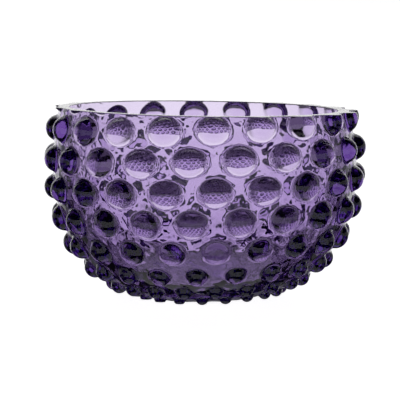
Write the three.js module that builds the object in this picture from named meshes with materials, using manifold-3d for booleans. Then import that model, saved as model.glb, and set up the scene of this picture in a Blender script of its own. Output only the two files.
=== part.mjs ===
// Hobnail bowl: one piece of amethyst glass, blown into a mould and then ground flat at the rim and the base.
// Millimetres, +Z up, the origin at the middle of the underside.
//
// The mould gives a round body with staggered rings of domed hobs. The body stood a little crooked when its rim
// and base were ground level, so the rings lean: on the +X side the rim cuts the top ring of hobs in half, and on
// the -X side it just reaches the ring above. All of it is a single solid, so this part has one mesh.
import * as THREE from "three";
import { mergeVertices } from "three/addons/utils/BufferGeometryUtils.js";
import Module from "manifold-3d";

// Driving dimensions
const RIM_HEIGHT = 128.2;
const HOBS_PER_RING = 20;
const RING_PITCH = 20.4; // along the wall, from one ring of hobs to the next
const BODY_LEAN = THREE.MathUtils.degToRad(2.93); // about Y, the +X side up
const LEAN_PIVOT = 65; // height of the point that the body leans about
const FIRST_HOB = THREE.MathUtils.degToRad(-86.1); // angle of one hob of the second ring, from +X
const BASE_THICKNESS = 11;

// Each ring of hobs, from above the rim to beside the base: the wall's radius and height under the hobs, half of
// a hob's width round the bowl and half of its height up the wall, and how far it stands out.
const RINGS = [
  { radius: 96.4, height: 139.4, across: 13.0, along: 10.0, out: 7.0 },
  { radius: 100.0, height: 119.2, across: 13.0, along: 10.0, out: 7.0 },
  { radius: 102.9, height: 99.0, across: 13.3, along: 10.1, out: 7.0 },
  { radius: 102.8, height: 78.8, across: 13.0, along: 10.0, out: 7.0 },
  { radius: 99.6, height: 58.8, across: 12.0, along: 9.9, out: 6.7 },
  { radius: 91.6, height: 39.4, across: 10.4, along: 9.4, out: 6.2 },
  { radius: 79.8, height: 23.0, across: 8.6, along: 8.4, out: 5.5 },
  { radius: 65.2, height: 11.0, across: 7.0, along: 7.1, out: 4.6 },
  { radius: 49.6, height: 3.7, across: 5.5, along: 5.9, out: 3.6 },
];
// The wall above the first ring, which is ground away, and below the last one, towards the middle of the base.
const WALL_TOP = new THREE.Vector2(92.0, 159.2);
const WALL_BOTTOM = [new THREE.Vector2(33, -0.9), new THREE.Vector2(13, -4.5)];

// The cavity's radius and height, from the axis outwards and up past the rim.
const CAVITY = [
  [36.5, BASE_THICKNESS + 1.5],
  [55.6, 18.2],
  [71.5, 29.9],
  [83.9, 46.6],
  [91.5, 68],
  [94.8, 90],
  [93.8, 110],
  [91.3, 128],
  [87.5, 150],
];
const CAVITY_FACETS = 56;
const CAVITY_STEPS = 11; // along the cavity's profile

// How finely a hob is faceted
const HOB_SIDES = 8;
const HOB_LEVELS = [0.42, 0.78, 1]; // shares of the way from a hob's top to its outline
const DOME_SHARE = 0.72; // how much of a hob's section is dome; the rest is the fillet into the wall

const wall = new THREE.SplineCurve([
  WALL_TOP,
  ...RINGS.map((ring) => new THREE.Vector2(ring.radius, ring.height)),
  ...WALL_BOTTOM,
]);
const WALL_SPANS = wall.points.length - 1;
const STEP_ANGLE = (2 * Math.PI) / HOBS_PER_RING;

// The wall's (radius, height) at a place counted in rings, where 0 is the first ring.
function wallAt(ring) {
  return wall.getPoint((ring + 1) / WALL_SPANS);
}

// A point that stands out from the wall at an angle round the axis and a place counted in rings.
function onBody(angle, ring, out) {
  const nearby = 0.01;
  const p = wallAt(ring);
  const along = wallAt(ring + nearby).sub(wallAt(ring - nearby)).normalize();
  const radius = p.x - along.y * out;
  const height = p.y + along.x * out;
  return new THREE.Vector3(radius * Math.cos(angle), radius * Math.sin(angle), height);
}

// How far a hob stands out at a share of the way from its top to its outline: a dome that turns into a fillet.
function hobSection(share, halfWidth, out) {
  const slope = 2 * Math.atan(out / halfWidth);
  const radii = halfWidth / Math.sin(slope); // the dome's radius plus the fillet's
  const dome = radii * DOME_SHARE;
  const fillet = radii - dome;
  const reach = share * halfWidth;
  if (reach < dome * Math.sin(slope)) return out - dome + Math.sqrt(dome * dome - reach * reach);
  const left = halfWidth - reach;
  return fillet - Math.sqrt(fillet * fillet - left * left);
}

function hobAngle(ringIndex, hob) {
  const stagger = ringIndex % 2 === 1 ? 0 : STEP_ANGLE / 2;
  return FIRST_HOB + stagger + hob * STEP_ANGLE;
}

// Triangles between two closed loops of points that turn the same way.
function zip(triangles, inner, outer) {
  let i = 0;
  let o = 0;
  while (i < inner.length || o < outer.length) {
    const a = inner[i % inner.length];
    const b = outer[o % outer.length];
    if (i * outer.length < o * inner.length || o === outer.length) {
      i += 1;
      triangles.push([a, b, inner[i % inner.length]]);
    } else {
      o += 1;
      triangles.push([a, b, outer[o % outer.length]]);
    }
  }
}

// One hob with the six-sided field of wall that it stands on, whose corners its neighbours share.
function hobCell(triangles, ringIndex, hob) {
  const ring = RINGS[ringIndex];
  const angle = hobAngle(ringIndex, hob);
  const corners = [
    [0.5, 1 / 3],
    [0.5, -1 / 3],
    [0, -2 / 3],
    [-0.5, -1 / 3],
    [-0.5, 1 / 3],
    [0, 2 / 3],
  ].map(([a, r]) => onBody(angle + a * STEP_ANGLE, ringIndex + r, 0));
  const top = onBody(angle, ringIndex, ring.out);
  let inside = null;
  for (const share of HOB_LEVELS) {
    const loop = [];
    for (let side = 0; side < HOB_SIDES; side++) {
      const turn = ((side - 0.5) / HOB_SIDES) * 2 * Math.PI;
      const across = share * ring.across * Math.cos(turn);
      const along = share * ring.along * Math.sin(turn);
      const halfWidth = Math.hypot(ring.across * Math.cos(turn), ring.along * Math.sin(turn));
      const out = hobSection(share, halfWidth, ring.out);
      loop.push(onBody(angle + across / ring.radius, ringIndex - along / RING_PITCH, out));
    }
    if (inside === null) loop.forEach((p, i) => triangles.push([top, p, loop[(i + 1) % HOB_SIDES]]));
    else zip(triangles, inside, loop);
    inside = loop;
  }
  zip(triangles, inside, corners);
}

// The zigzag line of shared corners just above a ring of cells, in order round the bowl.
function zigzag(ringIndex) {
  const points = [];
  for (let hob = 0; hob < HOBS_PER_RING; hob++) {
    const angle = hobAngle(ringIndex, hob);
    points.push(onBody(angle, ringIndex - 2 / 3, 0));
    points.push(onBody(angle + STEP_ANGLE / 2, ringIndex - 1 / 3, 0));
  }
  return points;
}

function closeTo(triangles, loop, middle, up) {
  loop.forEach((p, i) => {
    const next = loop[(i + 1) % loop.length];
    triangles.push(up ? [middle, p, next] : [middle, next, p]);
  });
}

function geometryOf(triangles) {
  const geometry = new THREE.BufferGeometry().setFromPoints(triangles.flat());
  return mergeVertices(geometry, 1e-3);
}

// The whole body before grinding: the hobs and wall, closed flat on top and below.
function bodyGeometry() {
  const triangles = [];
  for (let ring = 0; ring < RINGS.length; ring++) {
    for (let hob = 0; hob < HOBS_PER_RING; hob++) hobCell(triangles, ring, hob);
  }
  const above = zigzag(0);
  closeTo(triangles, above, new THREE.Vector3(0, 0, WALL_TOP.y), true);
  const below = zigzag(RINGS.length);
  const foot = [];
  for (let i = 0; i < HOBS_PER_RING; i++) {
    foot.push(onBody(hobAngle(RINGS.length, i), RINGS.length + 0.5, 0));
  }
  zip(triangles, foot.toReversed(), below.toReversed());
  closeTo(triangles, foot, new THREE.Vector3(0, 0, WALL_BOTTOM[1].y), false);
  return geometryOf(triangles);
}

function cavityGeometry() {
  const curve = new THREE.SplineCurve(CAVITY.map(([r, z]) => new THREE.Vector2(r, z)));
  const points = curve.getPoints(CAVITY_STEPS);
  points.unshift(new THREE.Vector2(0, BASE_THICKNESS));
  points.push(new THREE.Vector2(0, points.at(-1).y));
  return new THREE.LatheGeometry(points, CAVITY_FACETS).rotateX(Math.PI / 2);
}

function lean(geometry) {
  return geometry.translate(0, 0, -LEAN_PIVOT).rotateY(-BODY_LEAN).translate(0, 0, LEAN_PIVOT);
}

const wasm = await Module();
wasm.setup();

function solidOf(geometry) {
  const bare = geometry.clone();
  bare.deleteAttribute("normal");
  bare.deleteAttribute("uv");
  const merged = mergeVertices(bare, 1e-3);
  const corners = [];
  for (let i = 0; i < merged.index.count; i += 3) {
    const [a, b, c] = merged.index.array.slice(i, i + 3);
    if (a !== b && b !== c && c !== a) corners.push(a, b, c);
  }
  const mesh = { numProp: 3, vertProperties: merged.attributes.position.array };
  return new wasm.Manifold(new wasm.Mesh({ ...mesh, triVerts: new Uint32Array(corners) }));
}

function geometryFrom(solid) {
  const mesh = solid.getMesh();
  return new THREE.BufferGeometry()
    .setAttribute("position", new THREE.BufferAttribute(new Float32Array(mesh.vertProperties), 3))
    .setIndex(new THREE.BufferAttribute(new Uint32Array(mesh.triVerts), 1));
}

const SLAB = 300; // wider and deeper than the bowl
function bowlGeometry() {
  const aboveRim = new THREE.BoxGeometry(SLAB, SLAB, SLAB).translate(0, 0, RIM_HEIGHT + SLAB / 2);
  const belowBase = new THREE.BoxGeometry(SLAB, SLAB, SLAB).translate(0, 0, -SLAB / 2);
  const ground = solidOf(lean(bodyGeometry()))
    .subtract(solidOf(lean(cavityGeometry())))
    .subtract(solidOf(aboveRim))
    .subtract(solidOf(belowBase));
  const geometry = geometryFrom(ground);
  geometry.computeBoundingBox();
  const middle = geometry.boundingBox.getCenter(new THREE.Vector3());
  geometry.translate(-middle.x, -middle.y, 0);
  geometry.computeVertexNormals();
  return geometry;
}

const glass = new THREE.MeshStandardMaterial({ color: 0x6b4a94, roughness: 0.03, metalness: 0 });
const bowl = new THREE.Mesh(bowlGeometry(), glass);
bowl.name = "bowl";

const part = new THREE.Group();
part.add(bowl);
export default part;
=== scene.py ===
import math
import random

import bmesh
import bpy
import numpy as np
from mathutils import Matrix, Quaternion, Vector


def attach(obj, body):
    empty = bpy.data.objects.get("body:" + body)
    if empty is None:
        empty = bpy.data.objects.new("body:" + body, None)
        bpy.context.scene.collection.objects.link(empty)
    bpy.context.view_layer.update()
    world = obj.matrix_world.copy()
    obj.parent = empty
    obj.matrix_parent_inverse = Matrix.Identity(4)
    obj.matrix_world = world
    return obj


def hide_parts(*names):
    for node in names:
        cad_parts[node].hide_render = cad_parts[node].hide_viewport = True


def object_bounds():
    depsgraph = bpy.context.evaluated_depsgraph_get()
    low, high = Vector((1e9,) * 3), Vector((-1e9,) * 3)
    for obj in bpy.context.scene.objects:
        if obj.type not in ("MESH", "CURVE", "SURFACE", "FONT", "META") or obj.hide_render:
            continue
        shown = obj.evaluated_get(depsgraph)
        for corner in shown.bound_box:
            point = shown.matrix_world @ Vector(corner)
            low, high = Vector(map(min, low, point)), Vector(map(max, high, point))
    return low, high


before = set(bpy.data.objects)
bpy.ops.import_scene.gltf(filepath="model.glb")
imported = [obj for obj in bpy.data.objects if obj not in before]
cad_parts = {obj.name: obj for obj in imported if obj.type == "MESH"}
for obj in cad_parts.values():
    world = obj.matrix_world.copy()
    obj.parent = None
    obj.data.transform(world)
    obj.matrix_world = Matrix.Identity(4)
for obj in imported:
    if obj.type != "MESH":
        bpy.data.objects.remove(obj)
cad_low, cad_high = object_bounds()

MM = 0.001
RIM_HEIGHT = cad_high[2] / MM
HOBS_PER_RING = 20
STEP = 2 * math.pi / HOBS_PER_RING
RING_PITCH = 20.4
BODY_LEAN = math.radians(2.93)
LEAN_PIVOT = 65.0
FIRST_HOB = math.radians(-86.1)

# Rings of hobs from above the rim down: wall radius, height, half width,
# half height up the wall, stand-out
RINGS = [
    (96.4, 139.4, 13.0, 10.0, 7.0),
    (100.0, 119.2, 13.0, 10.0, 7.0),
    (102.9, 99.0, 13.3, 10.1, 7.0),
    (102.8, 78.8, 13.0, 10.0, 7.0),
    (99.6, 58.8, 12.0, 9.9, 6.7),
    (91.6, 39.4, 10.4, 9.4, 6.2),
    (79.8, 23.0, 8.6, 8.4, 5.5),
    (65.2, 11.0, 7.0, 7.1, 4.6),
    (49.6, 3.7, 5.5, 5.9, 3.6),
]
WALL_TOP = [(92.0, 159.2)]  # the wall above the first ring, cut away by the rim
WALL_BOTTOM = [(33.0, -0.9), (13.0, -4.5)]
FLOOR_SHARE = 0.35  # the flat middle of the base, as a share of the last ring of cells

# How much one hob differs from the next
ACROSS_VARIES = 0.025
OUT_VARIES = 0.03
MOVES_ROUND = 0.25
MOVES_UP = 0.2

# How much of a hob's section is dome, and how much more of it up and down the hob
DOME_SHARE = 0.72
DOME_SHARE_UP = 0.14

BASE_THICKNESS = 11.0
# The cavity's radius and height, from the axis outwards and up past the rim
CAVITY = [
    (0, BASE_THICKNESS),
    (17, BASE_THICKNESS + 0.4),
    (36.5, BASE_THICKNESS + 2.0),
    (55.6, 18.2),
    (71.5, 29.9),
    (83.9, 46.6),
    (91.5, 68),
    (94.8, 90),
    (93.8, 110),
    (91.3, 128),
    (87.5, 150),
]

# The glass. Scales count features in a metre and depths are in metres.
GLASS_IOR = 1.52
ABSORB_COLOUR = (0.45, 0.24, 0.68, 1)
ABSORB_DENSITY = 73.0
RIPPLE_SCALE = 85.0  # waves of about 12 mm left by the mould and the fire polishing
RIPPLE_DEPTH = 0.0008
GRAIN_SCALE = 700.0
GRAIN_DEPTH = 0.000006
TINT_SCALE = 22.0
TINT_DARKEST = (0.955, 0.94, 0.975, 1)
POLISH_ROUGH = 0.012
GROUND_ROUGH = 0.14  # the ground rim and base

# How finely the bowl is divided
HOB_LEVELS = [0.12, 0.24, 0.36, 0.48, 0.58, 0.67, 0.75, 0.83, 0.91, 1.0]
FIELD_LEVELS = [0.36, 0.7, 1.0]
SIDES_PER_EDGE = 6  # points on each of a cell's six edges
CAVITY_SIDES = 160
CAVITY_STEPS = 56
EDGE_ROUND = 0.6  # the polished rounding of the rim's two edges
ROUND_STEPS = 3


def natural_spline(points):
    """The smooth curve through points. It takes places counted in points, and gives
    positions and slopes."""
    p = np.array(points, dtype=float)
    n = len(p)
    system = np.eye(n)
    right = np.zeros_like(p)
    for i in range(1, n - 1):
        system[i, i - 1:i + 2] = (1, 4, 1)
        right[i] = 6 * (p[i - 1] - 2 * p[i] + p[i + 1])
    bend = np.linalg.solve(system, right)

    def at(t):
        t = np.asarray(t, dtype=float)
        i = np.clip(np.floor(t).astype(int), 0, n - 2)
        u = (t - i)[..., None]
        w = 1 - u
        place = w * p[i] + u * p[i + 1] + ((w**3 - w) * bend[i] + (u**3 - u) * bend[i + 1]) / 6
        slope = p[i + 1] - p[i] + ((1 - 3 * w**2) * bend[i] + (3 * u**2 - 1) * bend[i + 1]) / 6
        return place, slope

    return at


wall = natural_spline(WALL_TOP + [ring[:2] for ring in RINGS] + WALL_BOTTOM)


def on_body(angle, ring, out):
    """Points that stand out from the wall, at angles round the axis and places counted in rings."""
    place, slope = wall(ring + 1)
    along = slope / np.linalg.norm(slope, axis=-1, keepdims=True)
    radius = place[..., 0] - along[..., 1] * out
    height = place[..., 1] + along[..., 0] * out
    return np.stack([radius * np.cos(angle), radius * np.sin(angle), height], axis=-1)


def hob_section(share, half, out, dome_share):
    """How far a hob stands out at a share of the way to its outline: a dome, then a fillet."""
    slope = 2 * np.arctan(out / half)
    radii = half / np.sin(slope)
    dome = radii * dome_share
    fillet = radii - dome
    reach = share * half
    on_dome = out - dome + np.sqrt(np.maximum(dome**2 - reach**2, 0))
    on_fillet = fillet - np.sqrt(np.maximum(fillet**2 - (half - reach) ** 2, 0))
    return np.where(reach < dome * np.sin(slope), on_dome, on_fillet)


def hob_angle(ring, hob):
    return FIRST_HOB + (0 if ring % 2 == 1 else STEP / 2) + hob * STEP


def cell_outline():
    """Points along a cell's six edges, anticlockwise seen from outside. Each is a number of steps
    round and a number of rings down."""
    corners = [
        (0.5, 1 / 3), (0.5, -1 / 3), (0, -2 / 3),
        (-0.5, -1 / 3), (-0.5, 1 / 3), (0, 2 / 3),
    ]
    points = []
    for (a, r), (a2, r2) in zip(corners, corners[1:] + corners[:1]):
        for i in range(SIDES_PER_EDGE):
            s = i / SIDES_PER_EDGE
            points.append((a + (a2 - a) * s, r + (r2 - r) * s))
    return np.array(points)


def add_cell(bm, ring, hob, outline, rng):
    """One hob and the field of wall round it. Neighbouring cells share their outlines' points."""
    radius, _, across, up, out = RINGS[ring]
    across *= rng.uniform(1 - ACROSS_VARIES, 1 + ACROSS_VARIES)
    up *= rng.uniform(1 - ACROSS_VARIES, 1 + ACROSS_VARIES)
    out *= rng.uniform(1 - OUT_VARIES, 1 + OUT_VARIES)
    shift = np.array([
        rng.uniform(-MOVES_ROUND, MOVES_ROUND),
        rng.uniform(-MOVES_UP, MOVES_UP),
    ])
    angle = hob_angle(ring, hob)
    edge = outline * (STEP * radius, -RING_PITCH)
    turn = np.arctan2(edge[:, 1] - shift[1], edge[:, 0] - shift[0])
    half = 1 / np.sqrt((np.cos(turn) / across) ** 2 + (np.sin(turn) / up) ** 2)
    rim = np.stack([half * np.cos(turn), half * np.sin(turn)], axis=-1)
    dome_share = DOME_SHARE + DOME_SHARE_UP * np.sin(turn) ** 2

    def ring_of(flat, stand):
        return on_body(angle + flat[:, 0] / radius, ring - flat[:, 1] / RING_PITCH, stand)

    loops = [
        ring_of(shift + rim * s, hob_section(s, half, out, dome_share)) for s in HOB_LEVELS
    ]
    loops += [ring_of((shift + rim) * (1 - f) + edge * f, 0 * half) for f in FIELD_LEVELS]
    top = on_body(np.array(angle + shift[0] / radius), np.array(ring - shift[1] / RING_PITCH), out)
    middle = bm.verts.new(top * MM)
    inside = None
    for loop in loops:
        verts = [bm.verts.new(p * MM) for p in loop]
        for i, v in enumerate(verts):
            after = verts[(i + 1) % len(verts)]
            if inside is None:
                bm.faces.new((middle, v, after))
            else:
                bm.faces.new((inside[i], v, after, inside[(i + 1) % len(verts)]))
        inside = verts


def lean(bm):
    pivot = Matrix.Translation((0, 0, LEAN_PIVOT * MM))
    bm.transform(pivot @ Matrix.Rotation(-BODY_LEAN, 4, "Y") @ pivot.inverted())


def cut_level(bm, height, keep_below):
    everything = bm.verts[:] + bm.edges[:] + bm.faces[:]
    bmesh.ops.bisect_plane(
        bm, geom=everything, dist=1e-6, plane_co=(0, 0, height), plane_no=(0, 0, 1),
        clear_outer=keep_below, clear_inner=not keep_below,
    )


def open_edges(bm, height):
    """The open edges at a level, with their ends set exactly on it."""
    near = 5e-5
    found = [
        e for e in bm.edges
        if e.is_boundary and all(abs(v.co.z - height) < near for v in e.verts)
    ]
    for e in found:
        for v in e.verts:
            v.co.z = height
    return found


def in_order(edges):
    """The vertices of one closed loop of edges, anticlockwise seen from above."""
    left = set(edges)
    edge = edges[0]
    loop = [edge.verts[0]]
    v = edge.verts[1]
    left.discard(edge)
    while v is not loop[0]:
        loop.append(v)
        edge = next(e for e in v.link_edges if e in left)
        left.discard(edge)
        v = edge.other_vert(v)
    area = sum(a.co.x * b.co.y - b.co.x * a.co.y for a, b in zip(loop, loop[1:] + loop[:1]))
    return loop if area > 0 else loop[::-1]


def round_edge(bm, height, towards_axis):
    """Turns an open edge over into the level of the rim, and returns the edges of its new loop."""
    loop = in_order(open_edges(bm, height))
    count = len(loop)
    side = 1 if towards_axis else -1
    inwards = []
    for i in range(count):
        d = loop[(i + 1) % count].co - loop[i - 1].co
        inwards.append(Vector((-d.y, d.x, 0)).normalized() * side)
    size = EDGE_ROUND * MM
    below = loop
    for step in range(1, ROUND_STEPS + 1):
        turn = step / ROUND_STEPS * math.pi / 2
        above = []
        for v, n in zip(loop, inwards):
            co = v.co + n * size * (1 - math.cos(turn)) + Vector((0, 0, size * math.sin(turn)))
            above.append(bm.verts.new(co))
        for i in range(count):
            j = (i + 1) % count
            quad = (below[i], below[j], above[j], above[i])
            bm.faces.new(quad if towards_axis else quad[::-1])
        below = above
    return [bm.edges.get((below[i], below[(i + 1) % count])) for i in range(count)]


def fill_level(bm, edges, normal):
    made = bmesh.ops.triangle_fill(
        bm, use_beauty=True, use_dissolve=False, edges=edges, normal=normal)
    return [f for f in made["geom"] if isinstance(f, bmesh.types.BMFace)]


def make_bowl():
    """The bowl as one closed mesh, and how far it was moved to stand centred on the origin."""
    bm = bmesh.new()
    rng = random.Random(7)
    outline = cell_outline()
    for ring in range(len(RINGS)):
        for hob in range(HOBS_PER_RING):
            add_cell(bm, ring, hob, outline, rng)
    bmesh.ops.remove_doubles(bm, verts=bm.verts[:], dist=2e-6)
    # the wall from the last ring of cells to the middle of the base
    low = in_order([
        e for e in bm.edges if e.is_boundary and e.verts[0].co.z < 0.03 and e.verts[1].co.z < 0.03
    ])
    centre = Vector((0, 0, WALL_BOTTOM[1][1] * MM))
    inner = [
        bm.verts.new(Vector((v.co.x * FLOOR_SHARE, v.co.y * FLOOR_SHARE, centre.z))) for v in low
    ]
    hub = bm.verts.new(centre)
    for i in range(len(low)):
        j = (i + 1) % len(low)
        bm.faces.new((low[j], low[i], inner[i], inner[j]))
        bm.faces.new((inner[j], inner[i], hub))
    lean(bm)
    cut_level(bm, (RIM_HEIGHT - EDGE_ROUND) * MM, True)
    cut_level(bm, 0, False)
    bmesh.ops.remove_doubles(bm, verts=bm.verts[:], dist=1.5e-5)
    bmesh.ops.dissolve_degenerate(bm, dist=1e-6, edges=bm.edges[:])
    base = open_edges(bm, 0)
    ground = fill_level(bm, base, (0, 0, -1))
    round_edge(bm, (RIM_HEIGHT - EDGE_ROUND) * MM, True)

    cavity = bmesh.new()
    curve = natural_spline(CAVITY)
    profile = curve(np.linspace(0, len(CAVITY) - 1, CAVITY_STEPS + 1))[0]
    rings = []
    for radius, height in profile[1:]:
        rings.append([
            cavity.verts.new((radius * MM * math.cos(a), radius * MM * math.sin(a), height * MM))
            for a in (2 * math.pi * i / CAVITY_SIDES for i in range(CAVITY_SIDES))
        ])
    middle = cavity.verts.new((0, 0, profile[0][1] * MM))
    for i in range(CAVITY_SIDES):
        j = (i + 1) % CAVITY_SIDES
        cavity.faces.new((middle, rings[0][i], rings[0][j]))
        for low_ring, high_ring in zip(rings, rings[1:]):
            cavity.faces.new((low_ring[i], high_ring[i], high_ring[j], low_ring[j]))
    lean(cavity)
    cut_level(cavity, (RIM_HEIGHT - EDGE_ROUND) * MM, True)
    bmesh.ops.remove_doubles(cavity, verts=cavity.verts[:], dist=1.5e-5)
    round_edge(cavity, (RIM_HEIGHT - EDGE_ROUND) * MM, False)
    part = bpy.data.meshes.new("cavity")
    cavity.to_mesh(part)
    cavity.free()
    bm.from_mesh(part)
    bpy.data.meshes.remove(part)

    rim = fill_level(bm, open_edges(bm, RIM_HEIGHT * MM), (0, 0, 1))
    for f in bm.faces:
        f.smooth = True
    for f in ground + rim:
        if f.is_valid:
            f.smooth = False
    bmesh.ops.recalc_face_normals(bm, faces=bm.faces[:])
    xs = [v.co.x for v in bm.verts]
    ys = [v.co.y for v in bm.verts]
    middle = Vector(((max(xs) + min(xs)) / 2, (max(ys) + min(ys)) / 2, 0))
    bmesh.ops.translate(bm, verts=bm.verts[:], vec=-middle)
    loose = sum(1 for e in bm.edges if not e.is_manifold)
    print("bowl: faces", len(bm.faces), "edges that don't join two faces", loose,
          "volume cm3", round(bm.calc_volume() * 1e6, 1))
    mesh = bpy.data.meshes.new("bowl_glass")
    bm.to_mesh(mesh)
    bm.free()
    bowl = bpy.data.objects.new("bowl_glass", mesh)
    bpy.context.collection.objects.link(bowl)
    return bowl, -middle


def math_node(nodes, links, operation, a, b=None):
    node = nodes.new("ShaderNodeMath")
    node.operation = operation
    for socket, value in zip(node.inputs, (a, b)):
        if value is None:
            continue
        if isinstance(value, bpy.types.NodeSocket):
            links.new(value, socket)
        else:
            socket.default_value = value
    return node.outputs[0]


def soft_step(nodes, links, value, start, end, low=0.0, high=1.0):
    node = nodes.new("ShaderNodeMapRange")
    node.interpolation_type = "SMOOTHSTEP"
    for name, number in (("From Min", start), ("From Max", end), ("To Min", low), ("To Max", high)):
        node.inputs[name].default_value = number
    links.new(value, node.inputs["Value"])
    return node.outputs["Result"]


def noise(nodes, links, place, scale, detail):
    node = nodes.new("ShaderNodeTexNoise")
    node.inputs["Scale"].default_value = scale
    node.inputs["Detail"].default_value = detail
    links.new(place, node.inputs["Vector"])
    return node.outputs["Fac"]


def ripple(nodes, links, height, depth, under=None):
    """A bump of this depth in metres, over another bump if there is one."""
    bump = nodes.new("ShaderNodeBump")
    bump.inputs["Strength"].default_value = 1.0
    bump.inputs["Distance"].default_value = depth
    links.new(height, bump.inputs["Height"])
    if under is not None:
        links.new(under, bump.inputs["Normal"])
    return bump.outputs["Normal"]


def glass_material():
    """Clear purple glass: fire polished and slightly rippled, with a ground rim and base."""
    material = bpy.data.materials.new("amethyst_glass")
    material.use_nodes = True
    nodes, links = material.node_tree.nodes, material.node_tree.links
    nodes.clear()
    out = nodes.new("ShaderNodeOutputMaterial")
    shader = nodes.new("ShaderNodeBsdfPrincipled")
    shader.inputs["IOR"].default_value = GLASS_IOR
    shader.inputs["Transmission Weight"].default_value = 1.0
    place = nodes.new("ShaderNodeTexCoord").outputs["Object"]
    split = nodes.new("ShaderNodeSeparateXYZ")
    links.new(place, split.inputs[0])
    height = split.outputs["Z"]

    ripples = noise(nodes, links, place, RIPPLE_SCALE, 1.5)
    grain = noise(nodes, links, place, GRAIN_SCALE, 2.0)
    normal = ripple(nodes, links, grain, GRAIN_DEPTH, ripple(nodes, links, ripples, RIPPLE_DEPTH))
    links.new(normal, shader.inputs["Normal"])

    rim = soft_step(nodes, links, height, (RIM_HEIGHT - 0.25) * MM, (RIM_HEIGHT - 0.05) * MM)
    base = soft_step(nodes, links, height, 0.05 * MM, 0.3 * MM, 1.0, 0.0)
    ground = math_node(nodes, links, "MAXIMUM", rim, base)
    polish = soft_step(nodes, links, grain, 0.45, 0.75, 0.0, POLISH_ROUGH)
    dull = math_node(nodes, links, "MULTIPLY", ground, GROUND_ROUGH)
    links.new(math_node(nodes, links, "ADD", polish, dull), shader.inputs["Roughness"])

    streaks = nodes.new("ShaderNodeValToRGB")
    streaks.color_ramp.elements[0].color = TINT_DARKEST
    streaks.color_ramp.elements[0].position = 0.3
    streaks.color_ramp.elements[1].color = (1, 1, 1, 1)
    streaks.color_ramp.elements[1].position = 0.7
    links.new(noise(nodes, links, place, TINT_SCALE, 2.0), streaks.inputs["Fac"])
    links.new(streaks.outputs["Color"], shader.inputs["Base Color"])

    absorb = nodes.new("ShaderNodeVolumeAbsorption")
    absorb.inputs["Color"].default_value = ABSORB_COLOUR
    absorb.inputs["Density"].default_value = ABSORB_DENSITY
    links.new(shader.outputs["BSDF"], out.inputs["Surface"])
    links.new(absorb.outputs["Volume"], out.inputs["Volume"])
    return material


# The studio as the glass sees it, in angles above the horizon and round from +Y
WALL_FULL = math.radians(22)  # the white wall behind the bowl, bright this far to each side
WALL_END = math.radians(58)  # and faded out here
WALL_LOW = math.radians(-9)  # below this the wall darkens towards the table
WALL_DARK = math.radians(-19)
WALL_HIGH = math.radians(60)
WALL_LIGHT = 1.14
STRIP_LIGHT = 0.32  # a low pale strip all round
STRIP_HIGH = math.radians(14)
TABLE_LOW = math.radians(-32)  # the lit part of the table top
TABLE_HIGH = math.radians(-19.5)
TABLE_LIGHT = 0.14
FRONT_START = math.radians(115)  # the room on the camera's side
FRONT_LOW = math.radians(-30)
FRONT_HIGH = math.radians(14)
FRONT_LIGHT = 0.58
FRONT_BLUR = 0.2
UNDER_HIGH = math.radians(-55.5)  # the table under the bowl
UNDER_LIGHT = 0.44
UNDER_BLUR = 0.01
DARK = 0.006  # everything else
FLOOR_RADIUS = 30
FLOOR_COLOUR = (0.9, 0.9, 0.9, 1)
FLOOR_GLOW = 0.95
WHITE = (1, 1, 1, 1)


def band(nodes, links, z, low, top, blur=0.008):
    """1 between two angles above the horizon, else 0. z is the sine of the angle."""
    above = soft_step(nodes, links, z, math.sin(low) - blur, math.sin(low) + blur)
    below = soft_step(nodes, links, z, math.sin(top) - blur, math.sin(top) + blur, 1.0, 0.0)
    return math_node(nodes, links, "MULTIPLY", above, below)


def fresh_nodes(tree):
    tree.nodes.clear()
    return tree.nodes, tree.links


def seen_by_camera(nodes, links, unseen, seen):
    path = nodes.new("ShaderNodeLightPath")
    mix = nodes.new("ShaderNodeMixShader")
    links.new(path.outputs["Is Camera Ray"], mix.inputs["Fac"])
    links.new(unseen, mix.inputs[1])
    links.new(seen, mix.inputs[2])
    return mix.outputs[0]


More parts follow.
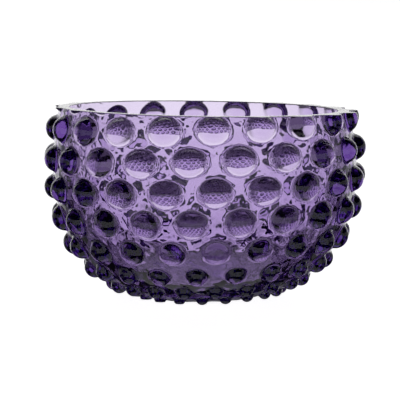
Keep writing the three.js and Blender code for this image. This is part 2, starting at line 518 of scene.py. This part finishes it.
def studio():
    """A plain white background over a pale floor. The glass sees something else: a white wall
    behind the bowl, paler light round and under it, and dark gaps between them."""
    world = bpy.data.worlds.new("studio")
    bpy.context.scene.world = world
    world.use_nodes = True
    nodes, links = fresh_nodes(world.node_tree)
    out = nodes.new("ShaderNodeOutputWorld")
    place = nodes.new("ShaderNodeTexCoord")
    split = nodes.new("ShaderNodeSeparateXYZ")
    links.new(place.outputs["Generated"], split.inputs[0])
    x, y, z = split.outputs
    turn = math_node(nodes, links, "ABSOLUTE", math_node(nodes, links, "ARCTAN2", x, y))
    behind = soft_step(nodes, links, turn, WALL_FULL, WALL_END, 1.0, 0.0)
    in_front = soft_step(
        nodes, links, turn, FRONT_START - FRONT_BLUR, FRONT_START + FRONT_BLUR, 0.0, FRONT_LIGHT)
    foot = soft_step(nodes, links, z, math.sin(WALL_DARK), math.sin(WALL_LOW))
    head = band(nodes, links, z, WALL_DARK, WALL_HIGH)
    head = math_node(nodes, links, "MULTIPLY", head, WALL_LIGHT)
    lit_wall = math_node(nodes, links, "MULTIPLY", foot, head)
    strip = band(nodes, links, z, WALL_LOW, STRIP_HIGH)
    table = band(nodes, links, z, TABLE_LOW, TABLE_HIGH)
    front = band(nodes, links, z, FRONT_LOW, FRONT_HIGH)
    under = math.sin(UNDER_HIGH)
    parts = [
        math_node(nodes, links, "MULTIPLY", behind, lit_wall),
        math_node(nodes, links, "MULTIPLY", strip, STRIP_LIGHT),
        math_node(nodes, links, "MULTIPLY", table, TABLE_LIGHT),
        math_node(nodes, links, "MULTIPLY", in_front, front),
        soft_step(nodes, links, z, under - UNDER_BLUR, under + UNDER_BLUR, UNDER_LIGHT, 0.0),
    ]
    strength = DARK
    for part in parts:
        strength = math_node(nodes, links, "MAXIMUM", part, strength)
    light = nodes.new("ShaderNodeBackground")
    light.inputs["Color"].default_value = WHITE
    links.new(strength, light.inputs["Strength"])
    seen = nodes.new("ShaderNodeBackground")
    seen.inputs["Color"].default_value = WHITE
    both = seen_by_camera(nodes, links, light.outputs[0], seen.outputs[0])
    links.new(both, out.inputs["Surface"])

    bpy.ops.mesh.primitive_circle_add(vertices=96, radius=FLOOR_RADIUS, fill_type="NGON")
    floor = bpy.context.object
    floor.name = "floor"
    material = bpy.data.materials.new("floor")
    material.use_nodes = True
    nodes, links = fresh_nodes(material.node_tree)
    out = nodes.new("ShaderNodeOutputMaterial")
    matte = nodes.new("ShaderNodeBsdfDiffuse")
    matte.inputs["Color"].default_value = FLOOR_COLOUR
    glow = nodes.new("ShaderNodeEmission")
    glow.inputs["Color"].default_value = WHITE
    glow.inputs["Strength"].default_value = FLOOR_GLOW
    pale = nodes.new("ShaderNodeAddShader")
    links.new(matte.outputs[0], pale.inputs[0])
    links.new(glow.outputs[0], pale.inputs[1])
    links.new(pale.outputs[0], out.inputs["Surface"])
    floor.data.materials.append(material)
    floor.visible_transmission = False
    floor.visible_glossy = False


CAMERA_DISTANCE = 1.5
CAMERA_RISE = math.radians(6.1)
CAMERA_HEIGHT = 0.0513  # the height that the rise is measured from
CAMERA_AIM = (-0.004, 0, 0.0652)
CAMERA_ROLL = math.radians(0.9)
CAMERA_LENS = 197.5


def camera(shift):
    """A long lens a little above the rim."""
    cam = bpy.data.cameras.new("camera")
    cam.sensor_width = 36
    cam.lens = CAMERA_LENS
    cam.clip_end = 50
    obj = bpy.data.objects.new("camera", cam)
    bpy.context.collection.objects.link(obj)
    back = -CAMERA_DISTANCE * math.cos(CAMERA_RISE)
    above = CAMERA_HEIGHT + CAMERA_DISTANCE * math.sin(CAMERA_RISE)
    place = Vector((0, back, above)) + shift
    aim = Vector(CAMERA_AIM) + shift
    obj.location = place
    obj.rotation_mode = "QUATERNION"
    roll = Quaternion((0, 0, 1), CAMERA_ROLL)
    obj.rotation_quaternion = (aim - place).to_track_quat("-Z", "Y") @ roll
    bpy.context.scene.camera = obj


bowl, shift = make_bowl()
bowl.data.materials.append(glass_material())
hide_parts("bowl")
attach(bowl, "root")
studio()
camera(shift)

scene = bpy.context.scene
scene.view_settings.view_transform = "Standard"
scene.cycles.max_bounces = 32
scene.cycles.transmission_bounces = 32
scene.cycles.glossy_bounces = 16
